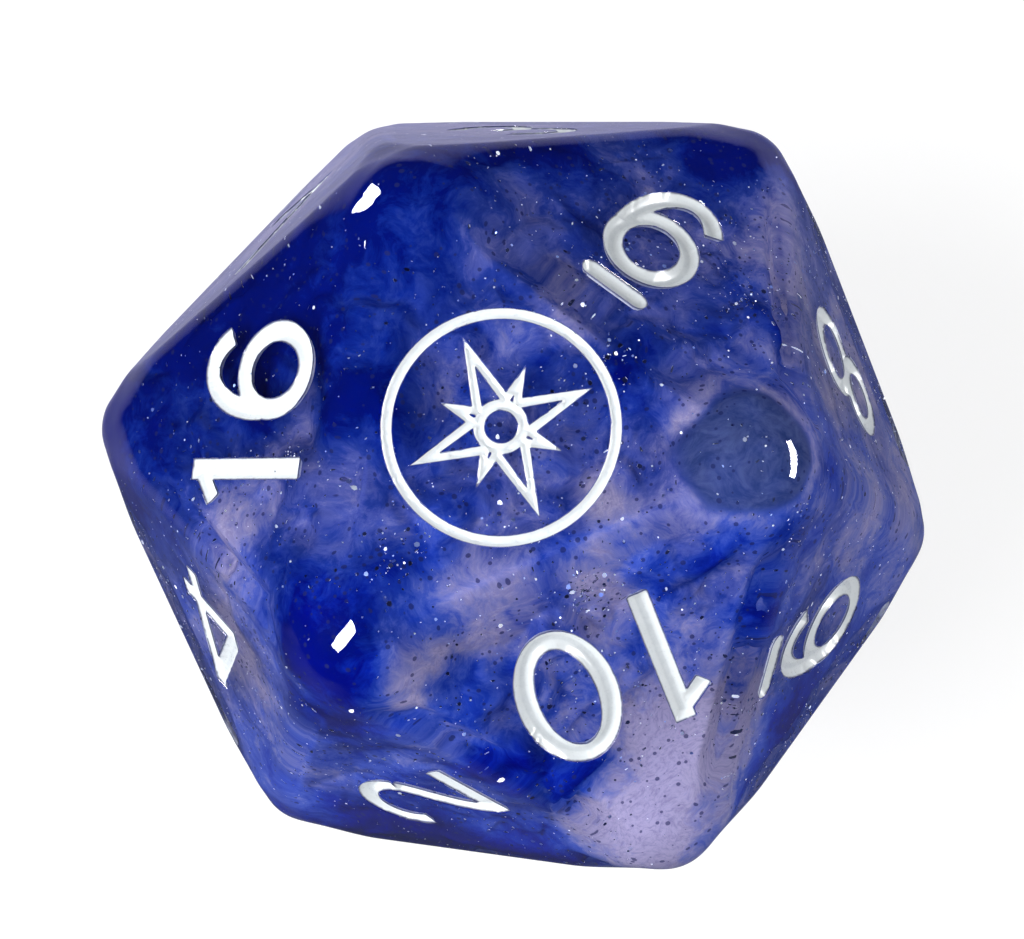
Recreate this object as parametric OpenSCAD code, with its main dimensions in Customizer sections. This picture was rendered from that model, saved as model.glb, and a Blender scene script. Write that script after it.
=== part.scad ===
// Twenty-sided die, cast in clear violet resin with a cloudy blue pour and silver glitter.
// Each face carries an engraved numeral filled with white paint; the highest face has a compass star.
// The die rests on face 1 with its highest face up. Millimetres, +Z up,
// origin at the middle of the face it rests on.

/* [Die] */
// distance between two opposite faces
face_to_face = 20; // [12:0.5:60]
// radius of the tumbled rounding on the twelve corners
corner_round = 2.35; // [0.4:0.05:4]
// radius of the rounding along the thirty edges
edge_round = 1.05; // [0.2:0.05:3]
// share of each edge that keeps its own small rounding before it swells into a corner
edge_share = 0.5; // [0.1:0.05:0.8]

/* [Numerals] */
// height of a numeral, outside to outside
numeral_height = 4.4; // [2:0.1:8]
// width of an engraved stroke
stroke = 0.6; // [0.2:0.02:1.2]
// depth of the engraving below the face
engraving_depth = 0.45; // [0.1:0.05:1.5]
// how far the surface of the paint lies below the face
paint_sink = 0.12; // [0:0.02:0.6]
// gap between the two digits of a numeral
digit_gap = 0.95; // [0.4:0.05:2]
// radius of the softened corners at the ends of a stroke
corner_soft = 0.06; // [0.02:0.01:0.2]

/* [Emblem] */
// radius of the ring round the compass star, to the middle of its stroke
ring_radius = 2.85; // [1.5:0.05:4]
// reach of the four long points of the star
long_point = 2.5; // [1:0.05:3.5]
// reach of the four short points of the star
short_point = 1.7; // [0.5:0.05:3]
// width of the fine lines of the emblem
fine_stroke = 0.3; // [0.15:0.01:0.6]

/* [Glitter] */
// number of large glitter flakes set in the resin
flake_count = 40; // [0:1:80]
// width of a flake across its corners
flake_width = 0.42; // [0.2:0.02:1]
// thickness of a flake
flake_thickness = 0.05; // [0.02:0.01:0.1]

/* [Quality] */
// facets round a full circle of the rounded corners
$fn = 40; // [24:4:64]

/* [Hidden] */
golden = (1 + sqrt(5)) / 2;
golden_angle = 137.508;
// half the distance between opposite faces
inradius = face_to_face / 2;
// length of an edge before rounding
edge = face_to_face * sqrt(3) / pow(golden, 2);
// the corners lie on four levels: three round the top face, three above the middle, three below it, three round the bottom face
cap_reach = edge / sqrt(3);
belt_reach = edge * golden / sqrt(3);
belt_level = edge / (2 * sqrt(3) * golden);

function ring3(reach, level, start) =
    [for (k = [0 : 2]) [reach * cos(start + 120 * k), reach * sin(start + 120 * k), level]];
function unit(v) = v / norm(v);

corners = concat(
    ring3(cap_reach, inradius, 90),
    ring3(belt_reach, belt_level, 30),
    ring3(belt_reach, -belt_level, 90),
    ring3(cap_reach, -inradius, 30)
);

// the upper ten faces as [number, corner its top points to, the two other corners];
// opposite faces add up to 21, so each gives its partner too
upper_faces = [
    [20, 0, 1, 2],
    [16, 4, 0, 1],
    [6, 3, 2, 0],
    [10, 5, 1, 2],
    [7, 6, 4, 0],
    [3, 6, 3, 0],
    [8, 8, 2, 3],
    [9, 8, 5, 2],
    [2, 7, 5, 1],
    [4, 7, 1, 4]
];
edges = [for (i = [0 : 10]) for (j = [i + 1 : 11]) if (norm(corners[i] - corners[j]) < 1.01 * edge) [i, j]];

// curves that the strokes follow; steps keep each chord short beside the stroke
arc_steps = 20;
// half width of a round digit and half height of any digit, to the middle of the stroke
half_wide = 0.235 * numeral_height;
half_high = (numeral_height - stroke) / 2;
// side bearings of the digit one, from the middle of its stem
one_left = 0.22 * numeral_height;
one_right = stroke / 2;
bar_level = -0.6 * numeral_height;
bar_half = 0.16 * numeral_height;
// numerals with a bar under them sit a little higher
barred_lift = 0.03 * numeral_height;

function arc(c, rx, ry, from, to) =
    [for (i = [0 : arc_steps]) let (t = from + (to - from) * i / arc_steps) c + [rx * cos(t), ry * sin(t)]];
function bend(a, b, c, d) =
    [for (i = [0 : arc_steps]) let (t = i / arc_steps, s = 1 - t)
        s * s * s * a + 3 * s * s * t * b + 3 * s * t * t * c + t * t * t * d];
function heading(p, i) = unit(p[min(i + 1, len(p) - 1)] - p[max(i - 1, 0)]);
function beside(p, away) = [for (i = [0 : len(p) - 1]) let (h = heading(p, i)) p[i] + away * [-h[1], h[0]]];
function backwards(p) = [for (i = [len(p) - 1 : -1 : 0]) p[i]];

// a stroke of even width with square ends
module line(path, width = stroke) {
    polygon(concat(beside(path, width / 2), backwards(beside(path, -width / 2))));
}

// a closed oval stroke
module oval(c, rx, ry, width = stroke) {
    n = 2 * arc_steps;
    rim = function (grow) [for (i = [0 : n - 1]) c + [(rx + grow) * cos(360 * i / n), (ry + grow) * sin(360 * i / n)]];
    polygon(
        concat(rim(width / 2), rim(-width / 2)),
        paths = [[for (i = [0 : n - 1]) i], [for (i = [0 : n - 1]) n + i]]
    );
}

module digit_0() {
    oval([0, 0], half_wide, half_high);
}

module digit_1() {
    tip = half_high + stroke / 2;
    line([[0, -tip], [0, tip]]);
    line([[-0.85 * one_left, 0.6 * half_high], [0, tip - 0.62 * stroke]], 0.85 * stroke);
}

module digit_2() {
    top = [0.02 * half_wide, half_high - 1.02 * half_wide];
    curve_end = top + [1.04 * half_wide * cos(-35), 1.02 * half_wide * sin(-35)];
    foot = [-0.98 * half_wide, -half_high];
    line(arc(top, 1.04 * half_wide, 1.02 * half_wide, 170, -35));
    line(bend(curve_end, curve_end - [0.3, 0.5] * half_wide, [-0.85 * half_wide, -0.45 * half_high], foot));
    line([foot - [stroke / 2, 0], [1.25 * half_wide, -half_high]]);
}

module digit_3() {
    upper = 0.46 * half_high;
    lower = half_high - upper;
    line(arc([0, half_high - upper], 0.93 * half_wide, upper, 155, -90));
    line(arc([0, lower - half_high], 1.05 * half_wide, lower, 90, -155));
    line([[-0.4 * half_wide, half_high - 2 * upper], [0.05 * half_wide, half_high - 2 * upper]]);
}

module digit_4() {
    stem = 0.5 * half_wide;
    bar = -0.58 * half_high;
    tip = half_high + stroke / 2;
    line([[stem, -tip], [stem, tip]]);
    line([[stem, tip - 0.6 * stroke], [-1.3 * half_wide, 0.75 * bar]]);
    line([[-1.3 * half_wide, 0.6 * bar], [-1.3 * half_wide, bar]]);
    line([[-1.3 * half_wide - stroke / 2, bar], [1.3 * half_wide, bar]]);
}

module digit_5() {
    bowl = [-0.05 * half_wide, -0.34 * half_high];
    line([[-0.78 * half_wide - stroke / 2, half_high], [half_wide, half_high]]);
    line([[-0.78 * half_wide, half_high], [-0.9 * half_wide, 0.12 * half_high]]);
    line(arc(bowl, 1.08 * half_wide, 0.66 * half_high, 142, -150));
}

module digit_6() {
    bowl_high = 0.64 * half_high;
    oval([0, bowl_high - half_high], half_wide, bowl_high);
    line(arc([0.12 * half_wide, -0.1 * half_high], 1.12 * half_wide, 1.1 * half_high, 186, 42));
}

module digit_7() {
    line([[-1.1 * half_wide, half_high], [1.02 * half_wide + stroke / 2, half_high]]);
    line(bend(
        [1.02 * half_wide, half_high], [0.55 * half_wide, 0.2 * half_high],
        [0, -0.3 * half_high], [-0.3 * half_wide, -half_high - stroke / 2]
    ));
}

module digit_8() {
    upper = 0.48 * half_high;
    lower = half_high - upper;
    oval([0, half_high - upper], 0.86 * half_wide, upper, 0.92 * stroke);
    oval([0, lower - half_high], 1.03 * half_wide, lower, 0.92 * stroke);
}

module digit(d) {
    if (d == 0) digit_0();
    if (d == 1) digit_1();
    if (d == 2) digit_2();
    if (d == 3) digit_3();
    if (d == 4) digit_4();
    if (d == 5) digit_5();
    if (d == 6) digit_6();
    if (d == 7) digit_7();
    if (d == 8) digit_8();
    if (d == 9) rotate(180) digit_6();
}

// how far a digit reaches to the left and to the right of its own middle
function reach_left(d) =
    d == 1 ? one_left : d == 4 ? 1.3 * half_wide + stroke / 2 : half_wide + stroke / 2;
function reach_right(d) = d == 1 ? one_right : d == 4 ? 1.3 * half_wide : half_wide + stroke / 2;

// the outline of a whole numeral, centred on its face with its top towards +Y
module numeral_shape(n) {
    tens = floor(n / 10);
    ones = n % 10;
    if (tens > 0) {
        across = reach_left(tens) + reach_right(tens) + digit_gap + reach_left(ones) + reach_right(ones);
        translate([reach_left(tens) - across / 2, 0]) digit(tens);
        translate([across / 2 - reach_right(ones), 0]) digit(ones);
    } else if (n == 6 || n == 9) {
        translate([0, barred_lift]) digit(ones);
        bar();
    } else {
        translate([(reach_left(ones) - reach_right(ones)) / 2, 0]) digit(ones);
    }
}

// the bar that tells a six from a nine
module bar() {
    polygon(concat(
        arc([bar_half, bar_level], stroke / 2, stroke / 2, 90, -90),
        arc([-bar_half, bar_level], stroke / 2, stroke / 2, 270, 90)
    ));
}

// eight-pointed compass star in outline, with a ring round it and a small ring in its middle
module emblem_shape() {
    difference() {
        circle(r = ring_radius + fine_stroke / 2);
        circle(r = ring_radius - fine_stroke / 2);
    }
    difference() {
        union() {
            star(short_point, 45, 0);
            star(long_point, 0, 0);
        }
        difference() {
            union() {
                star(short_point, 45, fine_stroke);
                star(long_point, 0, fine_stroke);
            }
            circle(r = 0.28 * long_point);
        }
        circle(r = 0.28 * long_point - fine_stroke);
    }
}

// a four-pointed star; inset draws it smaller by the width of a line all round
module star(reach, turn, inset) {
    waist = 0.3 * reach;
    outer = reach - 2.9 * inset;
    inner = waist - 1.05 * inset;
    rotate(turn + 90) polygon([
        for (k = [0 : 3]) each [
            outer * [cos(90 * k), sin(90 * k)],
            inner * [cos(90 * k + 45), sin(90 * k + 45)]
        ]
    ]);
}

// puts its children on a face: +Z out of the face, +Y towards the corner the numeral points to
module on_face(f, opposite) {
    sign = opposite ? -1 : 1;
    top = sign * corners[f[1]];
    middle = sign * (corners[f[1]] + corners[f[2]] + corners[f[3]]) / 3;
    z = unit(middle);
    y = unit(top - middle);
    x = cross(y, z);
    multmatrix([
        [x[0], y[0], z[0], middle[0]],
        [x[1], y[1], z[1], middle[1]],
        [x[2], y[2], z[2], middle[2]]
    ]) children();
}

// the corners of a stroke come out softened, because the mould is polished
module softened() {
    offset(r = corner_soft, $fn = 16) offset(delta = -corner_soft) children();
}

// what is engraved on face n
module face_shape(n) {
    if (n == 20) emblem_shape();
    else softened() numeral_shape(n);
}

// the flat that the rounding leaves on a face
module face_flat() {
    small = (inradius - edge_round) / inradius;
    corner = cap_reach * (inradius - corner_round) / inradius;
    points = [
        for (k = [0 : 2]) each [
            corner * [cos(90 + 120 * k), sin(90 + 120 * k)],
            let (a = cap_reach * small * [cos(90 + 120 * k), sin(90 + 120 * k)],
                b = cap_reach * small * [cos(210 + 120 * k), sin(210 + 120 * k)])
                a * (1 + edge_share) / 2 + b * (1 - edge_share) / 2,
            let (a = cap_reach * small * [cos(90 + 120 * k), sin(90 + 120 * k)],
                b = cap_reach * small * [cos(210 + 120 * k), sin(210 + 120 * k)])
                a * (1 - edge_share) / 2 + b * (1 + edge_share) / 2
        ]
    ];
    translate([0, 0, -0.01]) linear_extrude(0.01) polygon(points);
}

// the casting before it is engraved
module rounded_blank() {
    hull() {
        for (c = corners) translate(c * (inradius - corner_round) / inradius) sphere(r = corner_round);
        for (e = edges) for (t = [(1 - edge_share) / 2, (1 + edge_share) / 2])
            translate((corners[e[0]] * (1 - t) + corners[e[1]] * t) * (inradius - edge_round) / inradius)
                sphere(r = edge_round, $fn = 24);
        for (f = upper_faces) for (opposite = [false, true]) on_face(f, opposite) face_flat();
    }
}

module engraving(f, opposite) {
    on_face(f, opposite) translate([0, 0, -engraving_depth])
        linear_extrude(2 * engraving_depth) face_shape(opposite ? 21 - f[0] : f[0]);
}

// one flake of glitter, a thin hexagon, at its own place and tilt
module flake(i) {
    up = 1 - 2 * (i + 0.5) / flake_count;
    turn = golden_angle * i;
    depth = inradius * (0.66 + 0.2 * ((7 * i) % 10) / 10);
    translate(depth * [sqrt(1 - up * up) * cos(turn), sqrt(1 - up * up) * sin(turn), up])
        rotate([25 * ((3 * i) % 7), 35 * ((5 * i) % 9), turn])
            cylinder(d = flake_width, h = flake_thickness, center = true, $fn = 6);
}

module flakes() {
    translate([0, 0, inradius]) for (i = [0 : 1 : flake_count - 1]) flake(i);
}

module resin_body() {
    color([0.2, 0.22, 0.62])
        difference() {
            translate([0, 0, inradius]) rounded_blank();
            for (f = upper_faces) for (opposite = [false, true])
                translate([0, 0, inradius]) engraving(f, opposite);
            flakes();
        }
}

// the white paint in the engraving of face n
module paint(n) {
    color([0.94, 0.96, 0.97])
        for (f = upper_faces) for (opposite = [false, true])
            if (n == (opposite ? 21 - f[0] : f[0]))
                translate([0, 0, inradius]) on_face(f, opposite) translate([0, 0, -engraving_depth])
                    linear_extrude(engraving_depth - paint_sink) face_shape(n);
}

module numeral_01() { paint(1); }
module numeral_02() { paint(2); }
module numeral_03() { paint(3); }
module numeral_04() { paint(4); }
module numeral_05() { paint(5); }
module numeral_06() { paint(6); }
module numeral_07() { paint(7); }
module numeral_08() { paint(8); }
module numeral_09() { paint(9); }
module numeral_10() { paint(10); }
module numeral_11() { paint(11); }
module numeral_12() { paint(12); }
module numeral_13() { paint(13); }
module numeral_14() { paint(14); }
module numeral_15() { paint(15); }
module numeral_16() { paint(16); }
module numeral_17() { paint(17); }
module numeral_18() { paint(18); }
module numeral_19() { paint(19); }
module emblem_20() { paint(20); }

module glitter_flakes() {
    color([0.8, 0.82, 0.86]) flakes();
}

resin_body();
numeral_01();
numeral_02();
numeral_03();
numeral_04();
numeral_05();
numeral_06();
numeral_07();
numeral_08();
numeral_09();
numeral_10();
numeral_11();
numeral_12();
numeral_13();
numeral_14();
numeral_15();
numeral_16();
numeral_17();
numeral_18();
numeral_19();
emblem_20();
glitter_flakes();
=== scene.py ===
"""A twenty-sided die: clear violet resin over a cloudy blue pour, silver glitter and white numerals.

The die rests on face 1. Lengths below are millimetres in the part's frame, measured from the middle of
the die, and become metres, measured from the face it rests on, when a mesh is made. Lengths of the
lamps and the floor are metres.
"""

import math
import random

import bmesh
import bpy
import numpy as np
from mathutils import Matrix, Vector, noise
from mathutils.geometry import delaunay_2d_cdt


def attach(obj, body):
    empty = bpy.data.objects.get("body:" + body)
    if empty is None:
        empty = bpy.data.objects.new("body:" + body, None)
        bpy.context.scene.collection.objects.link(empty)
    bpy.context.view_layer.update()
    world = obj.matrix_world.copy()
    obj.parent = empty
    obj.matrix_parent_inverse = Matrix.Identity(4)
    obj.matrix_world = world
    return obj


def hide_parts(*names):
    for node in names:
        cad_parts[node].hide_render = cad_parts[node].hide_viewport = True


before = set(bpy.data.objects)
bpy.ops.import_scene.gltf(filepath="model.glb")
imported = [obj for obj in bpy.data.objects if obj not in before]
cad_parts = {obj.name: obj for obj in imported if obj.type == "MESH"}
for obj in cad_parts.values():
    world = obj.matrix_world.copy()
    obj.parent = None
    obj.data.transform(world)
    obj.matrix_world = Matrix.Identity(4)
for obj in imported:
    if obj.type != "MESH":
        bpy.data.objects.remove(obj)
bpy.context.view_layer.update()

# ---------------------------------------------------------------- sizes

# metres in a millimetre
MM = 0.001

INRADIUS = 10.0
GOLDEN = (1 + math.sqrt(5)) / 2
EDGE = 2 * INRADIUS * math.sqrt(3) / GOLDEN**2
CAP_REACH = EDGE / math.sqrt(3)
BELT_REACH = EDGE * GOLDEN / math.sqrt(3)
BELT_LEVEL = EDGE / (2 * math.sqrt(3) * GOLDEN)

# how soon the faces give way to the rounding, along an edge and at a corner
EDGE_SOFT = 0.236
CORNER_SOFT = 0.876
# degrees from a corner between which the one rounding becomes the other
CORNER_SPAN = (3, 16)
# how far a point must be from the rounding to count as flat
FLAT_CLEAR = 0.03
# rows of the mesh along one edge, crowded towards the edges by this power
ROWS = 56
CROWD = 1.5

STROKE = 0.6
NUMERAL_HEIGHT = 4.4
DIGIT_GAP = 0.95
HALF_WIDE = 0.235 * NUMERAL_HEIGHT
HALF_HIGH = (NUMERAL_HEIGHT - STROKE) / 2
ONE_LEFT = 0.22 * NUMERAL_HEIGHT
ONE_RIGHT = STROKE / 2
BAR_LEVEL = -0.6 * NUMERAL_HEIGHT
BAR_HALF = 0.16 * NUMERAL_HEIGHT
BARRED_LIFT = 0.03 * NUMERAL_HEIGHT

RING_RADIUS = 2.85
LONG_POINT = 2.5
SHORT_POINT = 1.7
# a star's notches as a share of its reach, and how much a line all round takes off tips and notches
NOTCH = 0.3
TIP_LOSS = 2.9
NOTCH_LOSS = 1.05
HUB_RADIUS = 0.28 * LONG_POINT
FINE_STROKE = 0.3

# the engraving: how deep it is at each distance in from its rim
GROOVE_IN = (0.0, 0.015, 0.05, 0.1, 0.16, 0.24)
GROOVE_DEEP = (0.0, 0.03, 0.2, 0.36, 0.43, 0.45)
# the paint, which is hollow along the middle of a stroke and stops just short of the rim
PAINT_IN = (0.012, 0.05, 0.1, 0.17, 0.24)
PAINT_DEEP = (0.015, 0.05, 0.11, 0.17, 0.2)
PAINT_UNDER = 0.015
# the ragged rim of the paint: how far it draws back, where, and how far apart the faces' noise lies
RAGGED = 0.05
RAGGED_FROM = -0.18
RAGGED_TO = 0.22
RAGGED_APART = 7.3
# the square grid on which an outline is found: its spacing, and half its width
PITCH = 0.045
SHEET_HALF = 3.6


def ring3(reach, level, start):
    """Three corners round the upright axis."""
    angles = [math.radians(start + 120 * k) for k in range(3)]
    return [(reach * math.cos(a), reach * math.sin(a), level) for a in angles]


CORNERS = np.array(
    ring3(CAP_REACH, INRADIUS, 90)
    + ring3(BELT_REACH, BELT_LEVEL, 30)
    + ring3(BELT_REACH, -BELT_LEVEL, 90)
    + ring3(CAP_REACH, -INRADIUS, 30)
)
CORNER_WAYS = CORNERS / np.linalg.norm(CORNERS, axis=1)[:, None]

# the upper ten faces: number, corner its top points to, the two others; opposite faces add up to 21
UPPER_FACES = (
    (20, 0, 1, 2),
    (16, 4, 0, 1),
    (6, 3, 2, 0),
    (10, 5, 1, 2),
    (7, 6, 4, 0),
    (3, 6, 3, 0),
    (8, 8, 2, 3),
    (9, 8, 5, 2),
    (2, 7, 5, 1),
    (4, 7, 1, 4),
)


def unit(v):
    return v / np.linalg.norm(v)


class Face:
    """One face: its number, its three corners and its own axes, with the top of its numeral along y."""

    def __init__(self, number, corners):
        self.number = number
        self.corners = corners
        self.middle = corners.mean(0)
        self.z = unit(self.middle)
        self.y = unit(corners[0] - self.middle)
        self.x = np.cross(self.y, self.z)

    def flat(self, points):
        """Points of the face's plane in its own two axes."""
        away = points - self.middle
        return np.stack([away @ self.x, away @ self.y], -1)

    def place(self, spots, deep):
        """Spots on the face's two axes, sunk below it by their depths."""
        spots = np.asarray(spots)
        deep = np.asarray(deep)[:, None]
        return self.middle + spots[:, :1] * self.x + spots[:, 1:] * self.y - deep * self.z


FACES = [Face(f[0], CORNERS[list(f[1:])]) for f in UPPER_FACES]
FACES += [Face(21 - f[0], -CORNERS[list(f[1:])]) for f in UPPER_FACES]
NORMALS = np.array([f.z for f in FACES])


# ---------------------------------------------------------------- the rounded blank


def smooth(low, high, value):
    """A smooth step from 0, up to the low value, to 1, from the high value on."""
    t = np.clip((value - low) / (high - low), 0, 1)
    return t * t * (3 - 2 * t)


def degrees_off_corner(ways):
    return np.degrees(np.arccos(np.clip((ways @ CORNER_WAYS.T).max(1), -1, 1)))


def softness(ways):
    """The rounding in each direction: small along the edges, larger near a corner."""
    off_corner = degrees_off_corner(ways)
    return CORNER_SOFT + (EDGE_SOFT - CORNER_SOFT) * smooth(*CORNER_SPAN, off_corner)


def surface_reach(ways):
    """How far the surface is from the middle of the die in each direction, by Newton's method.

    With each face's plane moved in by the rounding's radius, the heights above the planes have that
    radius as the root of the sum of their squares.
    """
    along = ways @ NORMALS.T
    soft = softness(ways)
    inner = INRADIUS - soft
    reach = INRADIUS / along.max(1)
    for _ in range(30):
        over = np.maximum(0, reach[:, None] * along - inner[:, None])
        size = np.sqrt((over**2).sum(1))
        reach -= (size - soft) * size / (over * along).sum(1)
    return reach


def surface_normals(ways, step=0.001):
    """Unit normals of the surface in each direction."""
    points = ways * surface_reach(ways)[:, None]
    slopes = []
    for shift in np.eye(3) * step:
        far = np.linalg.norm(points + shift, axis=1)
        slopes.append(far - surface_reach((points + shift) / far[:, None]))
    slopes = np.array(slopes).T
    return slopes / np.linalg.norm(slopes, axis=1)[:, None]


def is_flat(points, ways):
    """Which points lie on a face's true flat, clear of the rounding."""
    second = np.sort(points @ NORMALS.T, axis=1)[:, -2]
    return second < INRADIUS - softness(ways) - FLAT_CLEAR


def face_grid(rows):
    """Shares of the three corners at the points of a triangular grid, and its triangles."""
    spots = [(i, j, rows - i - j) for i in range(rows + 1) for j in range(rows + 1 - i)]
    number = {s[:2]: k for k, s in enumerate(spots)}
    triangles = []
    for i, j, k in spots:
        if k > 0:
            triangles.append((number[i, j], number[i + 1, j], number[i, j + 1]))
        if k > 1:
            triangles.append((number[i + 1, j], number[i + 1, j + 1], number[i, j + 1]))
    return np.array(spots) / rows, np.array(triangles)


def grid_ways(face, shares, crowd):
    """Unit directions of a face's grid points, crowded towards its edges."""
    spread = shares**crowd
    ways = spread @ face.corners
    return ways / np.linalg.norm(ways, axis=1)[:, None]


def outward(points, triangles):
    """The triangles, turned so that they face away from the middle of the die."""
    a, b, c = (points[triangles[:, k]] for k in range(3))
    inward = (np.cross(b - a, c - a) * (a + b + c)).sum(1) < 0
    turned = triangles.copy()
    turned[inward] = turned[inward][:, [0, 2, 1]]
    return turned


# ---------------------------------------------------------------- outlines of the engraving


def arc(c, rx, ry, start, end, steps=24):
    angles = [math.radians(start + (end - start) * i / steps) for i in range(steps + 1)]
    return [(c[0] + rx * math.cos(a), c[1] + ry * math.sin(a)) for a in angles]


def bend(a, b, c, d, steps=20):
    """A curve from a to d that leaves towards b and arrives from c."""
    a, b, c, d = (np.array(p) for p in (a, b, c, d))
    shares = [i / steps for i in range(steps + 1)]
    return [
        tuple((1 - t) ** 3 * a + 3 * (1 - t) ** 2 * t * b + 3 * (1 - t) * t**2 * c + t**3 * d)
        for t in shares
    ]


def line(path, width=STROKE):
    """The outline of a stroke of even width with square ends."""
    p = np.array(path, float)
    heading = np.array([unit(p[min(i + 1, len(p) - 1)] - p[max(i - 1, 0)]) for i in range(len(p))])
    side = np.stack([-heading[:, 1], heading[:, 0]], 1) * width / 2
    return [np.concatenate([p + side, (p - side)[::-1]])]


def oval(c, rx, ry, width=STROKE):
    """The two outlines of a closed oval stroke."""
    rims = [arc(c, rx + grow, ry + grow, 0, 360, 48)[:-1] for grow in (width / 2, -width / 2)]
    return [np.array(r) for r in rims]


def digit_0():
    return [oval((0, 0), HALF_WIDE, HALF_HIGH)]


def digit_1():
    tip = HALF_HIGH + STROKE / 2
    flag = [(-0.85 * ONE_LEFT, 0.6 * HALF_HIGH), (0, tip - 0.62 * STROKE)]
    return [line([(0, -tip), (0, tip)]), line(flag, 0.85 * STROKE)]


def digit_2():
    top = (0.02 * HALF_WIDE, HALF_HIGH - 1.02 * HALF_WIDE)
    curve = arc(top, 1.04 * HALF_WIDE, 1.02 * HALF_WIDE, 170, -35)
    end = curve[-1]
    foot = (-0.98 * HALF_WIDE, -HALF_HIGH)
    after = (end[0] - 0.3 * HALF_WIDE, end[1] - 0.5 * HALF_WIDE)
    slope = bend(end, after, (-0.85 * HALF_WIDE, -0.45 * HALF_HIGH), foot)
    base = [(foot[0] - STROKE / 2, foot[1]), (1.25 * HALF_WIDE, foot[1])]
    return [line(curve), line(slope), line(base)]


def digit_3():
    upper = 0.46 * HALF_HIGH
    lower = HALF_HIGH - upper
    waist = HALF_HIGH - 2 * upper
    return [
        line(arc((0, HALF_HIGH - upper), 0.93 * HALF_WIDE, upper, 155, -90)),
        line(arc((0, lower - HALF_HIGH), 1.05 * HALF_WIDE, lower, 90, -155)),
        line([(-0.4 * HALF_WIDE, waist), (0.05 * HALF_WIDE, waist)]),
    ]


def digit_4():
    stem = 0.5 * HALF_WIDE
    left = -1.3 * HALF_WIDE
    bar = -0.58 * HALF_HIGH
    tip = HALF_HIGH + STROKE / 2
    return [
        line([(stem, -tip), (stem, tip)]),
        line([(stem, tip - 0.6 * STROKE), (left, 0.75 * bar)]),
        line([(left, 0.6 * bar), (left, bar)]),
        line([(left - STROKE / 2, bar), (-left, bar)]),
    ]


def digit_5():
    stem = -0.78 * HALF_WIDE
    bowl = (-0.05 * HALF_WIDE, -0.34 * HALF_HIGH)
    return [
        line([(stem - STROKE / 2, HALF_HIGH), (HALF_WIDE, HALF_HIGH)]),
        line([(stem, HALF_HIGH), (-0.9 * HALF_WIDE, 0.12 * HALF_HIGH)]),
        line(arc(bowl, 1.08 * HALF_WIDE, 0.66 * HALF_HIGH, 142, -150)),
    ]


def digit_6():
    bowl = 0.64 * HALF_HIGH
    tail = arc((0.12 * HALF_WIDE, -0.1 * HALF_HIGH), 1.12 * HALF_WIDE, 1.1 * HALF_HIGH, 186, 42)
    return [oval((0, bowl - HALF_HIGH), HALF_WIDE, bowl), line(tail)]


def digit_7():
    start = (1.02 * HALF_WIDE, HALF_HIGH)
    foot = (-0.3 * HALF_WIDE, -HALF_HIGH - STROKE / 2)
    return [
        line([(-1.1 * HALF_WIDE, HALF_HIGH), (start[0] + STROKE / 2, HALF_HIGH)]),
        line(bend(start, (0.55 * HALF_WIDE, 0.2 * HALF_HIGH), (0, -0.3 * HALF_HIGH), foot)),
    ]


def digit_8():
    upper = 0.48 * HALF_HIGH
    lower = HALF_HIGH - upper
    return [
        oval((0, HALF_HIGH - upper), 0.86 * HALF_WIDE, upper, 0.92 * STROKE),
        oval((0, lower - HALF_HIGH), 1.03 * HALF_WIDE, lower, 0.92 * STROKE),
    ]


def digit_9():
    return [[-loop for loop in stroke] for stroke in digit_6()]


DIGITS = (digit_0, digit_1, digit_2, digit_3, digit_4, digit_5, digit_6, digit_7, digit_8, digit_9)


def reach_left(digit):
    """How far a digit reaches to the left of its own middle."""
    if digit == 1:
        return ONE_LEFT
    return 1.3 * HALF_WIDE + STROKE / 2 if digit == 4 else HALF_WIDE + STROKE / 2


def reach_right(digit):
    if digit == 1:
        return ONE_RIGHT
    return 1.3 * HALF_WIDE if digit == 4 else HALF_WIDE + STROKE / 2


def moved(strokes, by):
    return [[loop + np.array(by) for loop in stroke] for stroke in strokes]


def numeral_strokes(number):
    """The strokes of a numeral, centred on its face with its top towards +y."""
    tens, ones = divmod(number, 10)
    if tens:
        first_wide = reach_left(tens) + reach_right(tens)
        half = (first_wide + DIGIT_GAP + reach_left(ones) + reach_right(ones)) / 2
        first = moved(DIGITS[tens](), (reach_left(tens) - half, 0))
        return first + moved(DIGITS[ones](), (half - reach_right(ones), 0))
    if number in (6, 9):
        right = arc((BAR_HALF, BAR_LEVEL), STROKE / 2, STROKE / 2, 90, -90)
        left = arc((-BAR_HALF, BAR_LEVEL), STROKE / 2, STROKE / 2, 270, 90)
        return moved(DIGITS[ones](), (0, BARRED_LIFT)) + [[np.array(right + left)]]
    return moved(DIGITS[ones](), ((reach_left(ones) - reach_right(ones)) / 2, 0))


def depth_inside(loops, x, y):
    """How far each point lies inside an outline, below zero outside it."""
    near = np.full(x.shape, 1e9)
    inside = np.zeros(x.shape, bool)
    for loop in loops:
        for (ax, ay), (bx, by) in zip(loop, np.roll(loop, -1, 0)):
            ex, ey = bx - ax, by - ay
            px, py = x - ax, y - ay
            t = np.clip((px * ex + py * ey) / (ex * ex + ey * ey + 1e-12), 0, 1)
            near = np.minimum(near, (px - t * ex) ** 2 + (py - t * ey) ** 2)
            if ey:
                inside ^= ((ay > y) != (by > y)) & (px < ex * py / ey)
    return np.where(inside, 1, -1) * np.sqrt(near)


def star(reach, turn, inset):
    """A four-pointed star; inset draws it smaller by the width of a line all round."""
    outer = reach - TIP_LOSS * inset
    inner = NOTCH * reach - NOTCH_LOSS * inset
    angles = [math.radians(turn + 90 + 45 * k) for k in range(8)]
    sizes = [outer, inner] * 4
    return [np.array([(r * math.cos(a), r * math.sin(a)) for a, r in zip(angles, sizes)])]


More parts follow.
